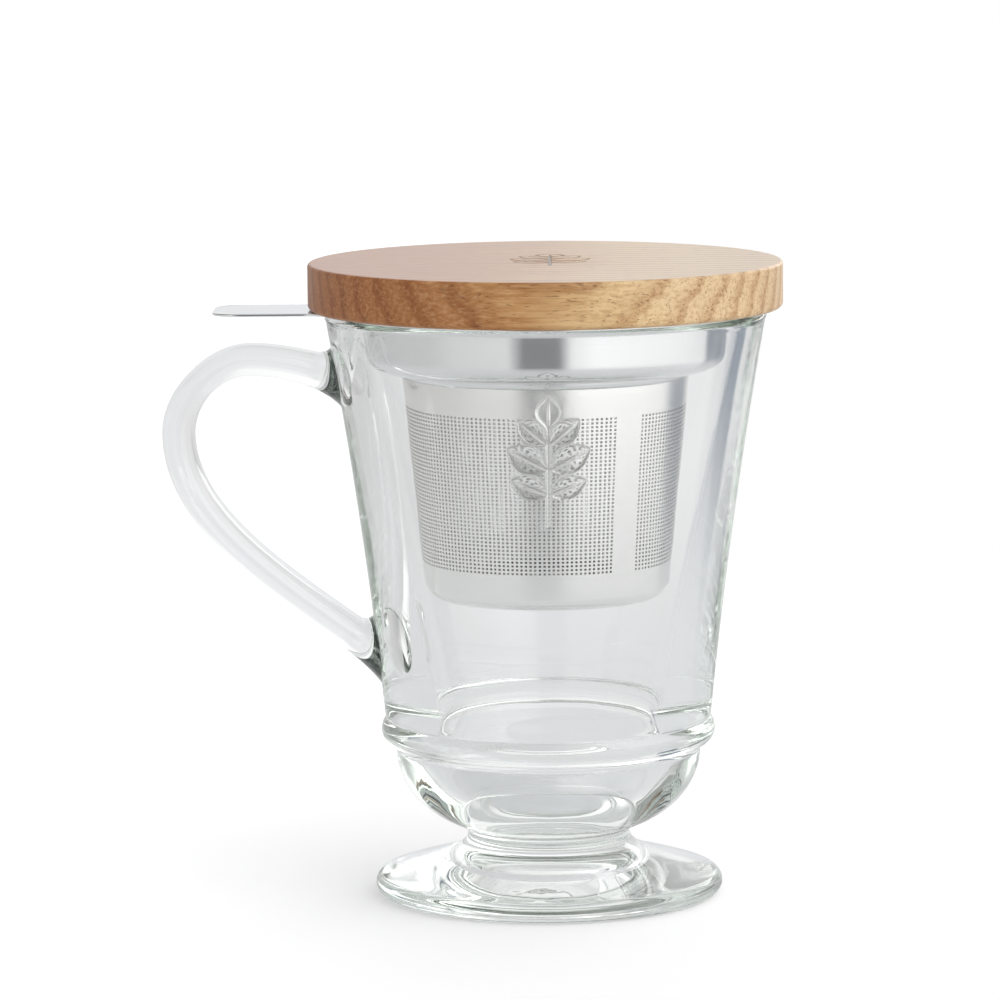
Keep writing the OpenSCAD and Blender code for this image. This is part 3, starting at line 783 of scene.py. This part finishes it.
def wall_piece():
    """Etched wall: every hole is cut through the sheet."""
    z_lines, z_holes = hole_lines(BAND_LOW, BAND_TOP, PITCH_UP, HOLE_UP)
    plain_low = list(np.linspace(WALL_LOW, BAND_LOW, 5)[:-1])
    plain_top = list(np.linspace(BAND_TOP, TAPER_TOP, 5)[1:]) + [111.4, WALL_TOP]
    zs = plain_low + z_lines + plain_top
    rows = [False] * len(plain_low) + z_holes + [False] * len(plain_top)
    mid_r = basket_r(MID_Z)
    strip = 2 * math.degrees(math.asin(STRIP_W / 2 / mid_r))
    pitch, hole = math.degrees(PITCH_ROUND / mid_r), math.degrees(HOLE_ROUND / mid_r)
    cols, deg = [], []
    for s in STRIPS:
        deg += list(s - strip / 2 + strip * np.arange(STRIP_COLUMNS) / STRIP_COLUMNS)
        cols += [False] * STRIP_COLUMNS
        lines, holes = hole_lines(s + strip / 2, s + 120.0 - strip / 2, pitch, hole)
        deg += lines[:-1]
        cols += holes
    angles = np.radians(np.array(deg))
    cos, sin = np.cos(angles), np.sin(angles)

    def ring(r, z):
        return np.stack([r * cos, r * sin, np.full_like(cos, z)], 1)

    mesh = Mesh()
    outer = [ring(basket_r(z), z) for z in zs]
    inner = [ring(basket_r(z) - BASKET_T, z) for z in zs]
    out_ids, in_ids = sheet_lattice(mesh, outer, inner, rows, cols)
    mesh.strip(out_ids[0], in_ids[0])
    mesh.strip(out_ids[-1], in_ids[-1])
    piece = mesh.build("infuser_wall_skin", MESH_STEEL, "infuser", "infuser_wall")
    flat_edges(piece)
    return piece


def fill_between(mesh, points, border, rim):
    """Triangles between the stepped edge of a field of holes and the round rim about it."""
    bm = bmesh.new()
    keys = sorted({q for e in border for q in e})
    local = {q: bm.verts.new(points[q]) for q in keys}
    ring = [bm.verts.new(points[r]) for r in rim]
    for p, q in border:
        bm.edges.new((local[p], local[q]))
    for s in range(len(ring)):
        bm.edges.new((ring[s], ring[(s + 1) % len(ring)]))
    bm.verts.index_update()
    back = {local[q].index: q for q in keys}
    back.update({ring[s].index: rim[s] for s in range(len(ring))})
    made = bmesh.ops.triangle_fill(bm, use_beauty=True, use_dissolve=False, edges=bm.edges[:],
                                   normal=(0, 0, 1))
    for f in (g for g in made["geom"] if isinstance(g, bmesh.types.BMFace)):
        mesh.faces.append(tuple(back[v.index] for v in f.verts))
    bm.free()


def base_piece():
    """Pressed pan: round corner, etched flat bottom."""
    t, low, corner = BASKET_T, BASKET_LOW, PAN_ROUND

    def pan_r(z):
        return basket_r(z) - t / math.cos(TAPER)

    corner_z = low + corner * (1 - math.sin(TAPER))
    c = (pan_r(corner_z) - corner * math.cos(TAPER), low + corner)
    outside = [(pan_r(z), z) for z in (PAN_TOP, PAN_MID)] + arc(c, corner, corner, -5.4, -90, 12)
    inside = [(pan_r(z) - t, z) for z in (PAN_TOP, PAN_MID)]
    inside += arc(c, corner - t, corner - t, -5.4, -90, 12)
    field = c[0] - FIELD_IN
    outside.append((field, low))
    inside.append((field, low + t))
    angles = np.linspace(0, 2 * math.pi, 181)[:-1]
    mesh = Mesh()
    outer_rows = mesh.revolve(outside, angles)
    inner_rows = mesh.revolve(inside, angles)
    mesh.strip(outer_rows[0], inner_rows[0])

    # square lattice inside the field, whose stepped edge is joined to the round by triangles
    n = int(field / PAN_PITCH)
    grid = np.array([i * PAN_PITCH + s * PAN_HOLE / 2 for i in range(-n, n + 1) for s in (-1, 1)])
    limit = field - FIELD_EDGE
    keep = set()
    for a in range(len(grid) - 1):
        for b in range(len(grid) - 1):
            if max(math.hypot(grid[a + i], grid[b + j]) for i in (0, 1) for j in (0, 1)) < limit:
                keep.add((a, b))
    used = sorted({(a + i, b + j) for a, b in keep for i in (0, 1) for j in (0, 1)})
    sides = []
    for z in (low, low + t):
        pts = mesh.add([(grid[a], grid[b], z) for a, b in used])
        sides.append(dict(zip(used, pts)))
    edges = {}
    for a, b in keep:
        ring = [(a, b), (a + 1, b), (a + 1, b + 1), (a, b + 1)]
        for s in range(4):
            e = tuple(sorted((ring[s], ring[(s + 1) % 4])))
            edges[e] = edges.get(e, 0) + 1
        o, i = ([side[q] for q in ring] for side in sides)
        if a % 2 == 0 and b % 2 == 0:
            hole_walls(mesh, o, i)
        else:
            mesh.faces.append(tuple(o))
            mesh.faces.append(tuple(i))
    border = [e for e, c in edges.items() if c == 1]
    points = np.concatenate(mesh.points)
    for side, rim in zip(sides, (outer_rows[-1], inner_rows[-1])):
        fill_between(mesh, points, [(side[p], side[q]) for p, q in border], rim)
    piece = mesh.build("infuser_base_skin", MESH_STEEL, "infuser", "infuser_base")
    flat_edges(piece)
    return piece


# ---- lid -----------------------------------------------------------------------------------------

LID_R, LID_LOW, LID_TOP, LID_TOP_ROUND, LID_LOW_ROUND = 50.0, 124.8, 134.6, 0.7, 1.2
PLUG_LOW, PLUG_GAP, PLUG_BEVEL, GROOVE = 119.8, 1.4, 0.8, 1.6
SEAL_LOW, SEAL_HIGH, SEAL_IN_R, SEAL_R = 120.8, 122.8, 35.5, 38.08
# mark on the lid: the part of the top with fine rows, the mark's place and how deep it is burnt in
MARK_FIELD_R, MARK_R, MARK_X, MARK_Y, MARK_DEPTH = 17.0, 16.5, 1.0, 2.0, 0.12


def lid_piece():
    """Turned disc with a plug below it, and a groove round the plug for the ring."""
    plug_r = inner_r(GLASS_H) - COLLAR_GAP - COLLAR_T - PLUG_GAP
    groove_r = plug_r - GROOVE
    line = [(0, PLUG_LOW), (12, PLUG_LOW), (24, PLUG_LOW), (plug_r - PLUG_BEVEL, PLUG_LOW),
            (plug_r, PLUG_LOW + PLUG_BEVEL), (plug_r, SEAL_LOW), (groove_r, SEAL_LOW),
            (groove_r, SEAL_HIGH), (plug_r, SEAL_HIGH), (plug_r, LID_LOW), (42.0, LID_LOW)]
    line = rounded(line, 0.2, steps=3)
    line += arc((LID_R - LID_LOW_ROUND, LID_LOW + LID_LOW_ROUND), LID_LOW_ROUND, LID_LOW_ROUND, -90, 0, 10)
    line += [(LID_R, LID_LOW + 3.2), (LID_R, LID_TOP - 3.0)]
    line += arc((LID_R - LID_TOP_ROUND, LID_TOP - LID_TOP_ROUND), LID_TOP_ROUND, LID_TOP_ROUND, 0, 90, 8)
    line += [(r, LID_TOP) for r in np.linspace(LID_R - 2.0, MARK_FIELD_R, 16)]
    line += [(r, LID_TOP) for r in np.linspace(MARK_FIELD_R, 0.0, 86)[1:]]
    angles = np.linspace(0, 2 * math.pi, 361)[:-1]
    mesh = Mesh()
    mesh.revolve(line, angles)
    pts = np.concatenate(mesh.points)
    on_top = (pts[:, 2] > LID_TOP - 1e-6) & (np.hypot(pts[:, 0], pts[:, 1]) < MARK_R)
    mark = np.zeros(len(pts))
    mark[on_top] = sprig_lines(pts[on_top, 0] - MARK_X, pts[on_top, 1] - MARK_Y)
    pts[:, 2] -= MARK_DEPTH * mark
    mesh.points = [pts]
    return mesh.build("lid_wood", WOOD, "lid", "lid_disc", values={"mark": mark})


def seal_piece():
    """Ring with two lips, which fills the groove."""
    low, high, r1 = SEAL_LOW, SEAL_HIGH, SEAL_R
    line = [(SEAL_IN_R, low + 0.02), (r1 - 0.8, low + 0.05), (r1, low + 0.35), (r1 - 0.05, low + 0.75),
            (r1 - 0.7, low + 1.0), (r1 - 0.05, low + 1.25), (r1, low + 1.65), (r1 - 0.8, low + 1.95),
            (SEAL_IN_R, high - 0.02)]
    line = rounded(line + [line[0]], 0.25, steps=4)[:-1]
    angles = np.linspace(0, 2 * math.pi, 241)[:-1]
    mesh = Mesh()
    rows = mesh.revolve(line, angles)
    mesh.strip(rows[-1], rows[0])
    return mesh.build("lid_seal_ring", SILICONE, "lid", "lid_seal")


glass_piece()
collar_piece()
wall_piece()
base_piece()
lid_piece()
seal_piece()


# ---- studio: camera, floor, light -------------------------------------------------------------------

# place in metres, turns in radians, and the focal length in widths of the sensor
CAMERA_DISTANCE, CAMERA_HEIGHT, CAMERA_FOCAL, SENSOR_MM = 1.1353, 0.2358, 5.4146, 36.0
CAMERA_PITCH, CAMERA_YAW, CAMERA_ROLL = 0.133, -0.0087, -0.0084

FLOOR_R_M, FLOOR_Z_M = 12.0, -0.0002
# glow of the paper to the camera by x, which makes it white; the extra glow on the mug's left is painted
# light that pales the shadow there
FLOOR_WHITE_AND_PAINTED_LIGHT = [(-0.10, 0.40), (0.02, 0.28)]
# painted shadow: the darker paper that glass and metal see near the mug, in place of the mug's own shade
NEAR_FLOOR_PAINTED_SHADOW = (0.75, 0.765, 0.78)
# to glass and metal the paper glows with a painted shadow near the mug, which runs out into a painted
# reflection of the studio walls between these distances, for this share of a ray
NEAR_R, FAR_R, SHOWN_SHARE = 0.12, 0.40, 0.75
CEILING = (0.42, 0.42, 0.43)
CAMERA_SIDE, NAVY, BACKDROP = (0.10, 0.105, 0.11), (0.06, 0.10, 0.17), (0.85, 0.86, 0.88)
# studio walls and the softboxes above them, in degrees from +Y: minus is on the mug's left and plus
# on its right
WALLS = [(-180, CAMERA_SIDE), (-167, CAMERA_SIDE), (-158, 0.90), (-125, 0.80), (-110, 0.66), (-60, 0.58),
         (-30, 0.60), (-13, 0.80), (-9, BACKDROP), (9, BACKDROP), (22, 0.86), (36, 0.86), (40, NAVY),
         (68, NAVY), (72, 1.1), (100, 1.25), (150, 1.4), (165, 1.15), (172, CAMERA_SIDE),
         (180, CAMERA_SIDE)]
SOFTBOXES = [(-180, 0.90), (-130, 0.40), (-60, 0.36), (-20, 0.90), (20, 1.20), (60, 1.30), (95, 2.0),
             (115, 2.5), (155, 2.2), (180, 0.90)]
# where walls give way to softboxes, and softboxes to the ceiling, by the upward part of a ray's direction
WALL_TOP_Z, CEILING_Z = [(0.10, 0.0), (0.20, 1.0)], [(0.75, 0.0), (0.92, 1.0)]


def camera():
    """A long lens in front of the mug, looking a little down."""
    data = bpy.data.cameras.new("camera")
    cam = bpy.data.objects.new("camera", data)
    SCENE.collection.objects.link(cam)
    pitch, yaw, roll = CAMERA_PITCH, CAMERA_YAW, CAMERA_ROLL
    forward = Vector((math.sin(yaw) * math.cos(pitch), math.cos(yaw) * math.cos(pitch), -math.sin(pitch)))
    right = Vector((math.cos(yaw), -math.sin(yaw), 0.0))
    up = right.cross(forward)
    rolled_right = math.cos(roll) * right + math.sin(roll) * up
    rolled_up = -math.sin(roll) * right + math.cos(roll) * up
    turn = Matrix((rolled_right, rolled_up, -forward)).transposed().to_4x4()
    cam.matrix_world = Matrix.Translation((0.0, -CAMERA_DISTANCE, CAMERA_HEIGHT)) @ turn
    data.sensor_width = SENSOR_MM
    data.lens = CAMERA_FOCAL * SENSOR_MM
    data.clip_start, data.clip_end = 0.05, 50.0
    SCENE.camera = cam


def seen_through(t):
    """1 for rays that have left glass or metal, which look for something to show."""
    path = t.node("ShaderNodeLightPath")
    return t.math("MAXIMUM", path.outputs["Is Glossy Ray"], path.outputs["Is Transmission Ray"])


def round_about(t, x, y, stops):
    """A colour by the direction x, y, from stops in degrees from +Y."""
    share = t.math("ADD", t.math("DIVIDE", t.math("ARCTAN2", x, y), 2 * math.pi), 0.5)
    return t.ramp(share, [((d + 180) / 360, v) for d, v in stops])


def floor():
    """White paper. To glass and metal it glows with a painted shadow near the mug and a painted reflection
    of the studio walls away from it.
    """
    m, t = material("studio_floor")
    mottle = t.noise(t.stretched(6, 6, 6), 1.0, 2.0, 0.5)
    colour = t.ramp(mottle, [(0.3, (0.79, 0.79, 0.79)), (0.7, (0.81, 0.81, 0.81))])
    paper = t.node("ShaderNodeBsdfDiffuse", {"Color": colour})
    place = t.node("ShaderNodeSeparateXYZ", {"Vector": t.node("ShaderNodeTexCoord").outputs["Object"]})
    x, y, _ = place.outputs
    # painted light: the glow is stronger on the mug's left, which pales the mug's shadow there
    (left, most), (right, least) = FLOOR_WHITE_AND_PAINTED_LIGHT
    by_x = t.node("ShaderNodeMapRange", {"Value": x, "From Min": left, "From Max": right, "To Min": most,
                                         "To Max": least}, interpolation_type="SMOOTHSTEP")
    to_camera = t.node("ShaderNodeLightPath").outputs["Is Camera Ray"]
    strength = t.math("MULTIPLY", to_camera, by_x.outputs[0])
    glow = t.node("ShaderNodeEmission", {"Color": (1, 1, 1, 1), "Strength": strength})
    near = t.node("ShaderNodeAddShader")
    t.tree.links.new(paper.outputs[0], near.inputs[0])
    t.tree.links.new(glow.outputs[0], near.inputs[1])
    away = t.math("SQRT", t.math("ADD", t.math("MULTIPLY", x, x), t.math("MULTIPLY", y, y)))
    far = t.node("ShaderNodeMapRange", {"Value": away, "From Min": NEAR_R, "From Max": FAR_R},
                 interpolation_type="SMOOTHSTEP")
    # painted shadow near the mug running out into painted studio walls, which glass and metal see as a glow
    painted_view = t.mix(far.outputs[0], NEAR_FLOOR_PAINTED_SHADOW, round_about(t, x, y, WALLS))
    painted_view = t.node("ShaderNodeEmission", {"Color": painted_view, "Strength": 1.0})
    both = t.node("ShaderNodeMixShader", {"Fac": t.math("MULTIPLY", seen_through(t), SHOWN_SHARE)})
    t.tree.links.new(near.outputs[0], both.inputs[1])
    t.tree.links.new(painted_view.outputs[0], both.inputs[2])
    t.node("ShaderNodeOutputMaterial", {"Surface": both.outputs[0]})
    mesh = bpy.data.meshes.new("studio_floor")
    turns = np.linspace(0, 2 * math.pi, 97)[:-1]
    ring = [(FLOOR_R_M * math.cos(a), FLOOR_R_M * math.sin(a), FLOOR_Z_M) for a in turns]
    mesh.from_pydata(ring, [], [tuple(range(len(ring)))])
    mesh.materials.append(m)
    obj = bpy.data.objects.new("studio_floor", mesh)
    SCENE.collection.objects.link(obj)


def world():
    """White to the camera. To the mug it is walls, softboxes above them, and the ceiling."""
    w = bpy.data.worlds.new("studio")
    w.use_nodes = True
    w.node_tree.nodes.clear()
    t = Tree(w.node_tree)
    way = t.node("ShaderNodeTexCoord").outputs["Generated"]
    x, y, z = t.node("ShaderNodeSeparateXYZ", {"Vector": way}).outputs
    walls, softboxes = round_about(t, x, y, WALLS), round_about(t, x, y, SOFTBOXES)
    light = t.mix(t.ramp(z, WALL_TOP_Z), walls, softboxes)
    light = t.mix(t.ramp(z, CEILING_Z), light, CEILING)
    light = t.node("ShaderNodeBackground", {"Color": light, "Strength": 1.0})
    plain = t.node("ShaderNodeBackground", {"Color": (1, 1, 1, 1), "Strength": 1.0})
    path = t.node("ShaderNodeLightPath")
    mixed = t.node("ShaderNodeMixShader", {"Fac": path.outputs["Is Camera Ray"]})
    t.tree.links.new(light.outputs[0], mixed.inputs[1])
    t.tree.links.new(plain.outputs[0], mixed.inputs[2])
    t.node("ShaderNodeOutputWorld", {"Surface": mixed.outputs[0]})
    SCENE.world = w


def lamp(name, place, target, size, power):
    data = bpy.data.lights.new(name, "AREA")
    data.shape, data.size, data.size_y, data.energy = "RECTANGLE", size[0], size[1], power
    obj = bpy.data.objects.new(name, data)
    obj.location = place
    obj.rotation_euler = (Vector(target) - Vector(place)).to_track_quat("-Z", "Y").to_euler()
    SCENE.collection.objects.link(obj)


camera()
floor()
world()
lamp("side", (0.24, 0.36, 0.25), (0.02, 0, 0.134), (0.2, 0.2), 0.25)
SCENE.view_settings.view_transform = "Standard"
# light that is caught inside thick glass turns many times before it leaves
SCENE.cycles.max_bounces = 64
SCENE.cycles.transmission_bounces = 60
SCENE.cycles.glossy_bounces = 40
SCENE.cycles.transparent_max_bounces = 8
